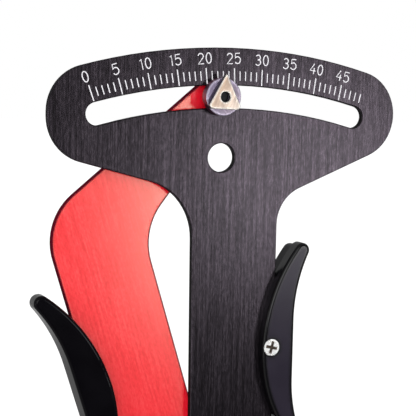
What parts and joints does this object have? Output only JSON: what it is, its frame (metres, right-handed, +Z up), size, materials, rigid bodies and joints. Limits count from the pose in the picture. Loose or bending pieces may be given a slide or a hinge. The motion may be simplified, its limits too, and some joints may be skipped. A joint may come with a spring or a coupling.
{
  "type": "spoke tension meter",
  "caption": "Hand-held spoke tension meter: a fan-shaped scale plate, a sprung lever arm behind it with a pointer in a curved slot, two curved grips and grooved posts for the spoke.",
  "frame": {"origin": "centre of the hang hole, at the middle of the scale plate's thickness", "axes": "+Z up along the plate's stem towards the scale, +Y away from the reader of the scale, +X to the reader's right, towards the high end of the scale"},
  "size_m": [0.1236, 0.0224, 0.1979],
  "materials": {
    "plate": "black anodised, brushed along the stem, white printed scale",
    "arm": "red anodised, brushed along its length",
    "grip": "black moulded plastic, satin faces and polished rims",
    "screw": "bright zinc-plated steel",
    "black_steel": "black oxide steel",
    "post": "turned hardened steel",
    "bronze": "sintered bronze",
    "disc": "satin anodised, turned",
    "pointer": "brushed stainless steel",
    "slider": "black acetal",
    "spring": "oiled spring wire"
  },
  "bodies": {
    "plate": {"scale_plate": "plate", "right_grip_front": "grip", "right_grip_rear": "grip", "right_grip_screw": "screw", "pivot_bolt": "black_steel", "pivot_washer": "screw", "pivot_nut": "screw", "fixed_post_left": "post", "fixed_post_screw_left": "screw", "fixed_post_right": "post", "fixed_post_screw_right": "screw", "plate_spring_anchor": "post", "plate_anchor_screw": "black_steel", "plate_spring_seat": "slider", "return_spring": "spring", "calibration_screw": "black_steel", "calibration_lock_nut": "screw"},
    "lever": {"lever_arm": "arm", "pivot_bush": "bronze", "left_grip_front": "grip", "left_grip_rear": "grip", "left_grip_screw": "screw", "moving_post": "post", "moving_post_screw": "screw", "slide_disc": "disc", "slide_bush": "slider", "slide_washer": "slider", "pointer": "pointer", "pointer_lock_washer": "screw", "pointer_screw": "black_steel", "arm_spring_anchor": "post", "arm_anchor_screw": "black_steel", "arm_spring_seat": "slider"}
  },
  "joints": [
    {"name": "arm_pivot", "type": "hinge", "parent": "plate", "child": "lever", "pos_m": [0.0027, 0, -0.1489], "axis": [0, 1, 0], "range_deg": [-13.9, 16.5], "stiffness_Nm_per_rad": 1.5, "deforming": ["return_spring"]}
  ]
}
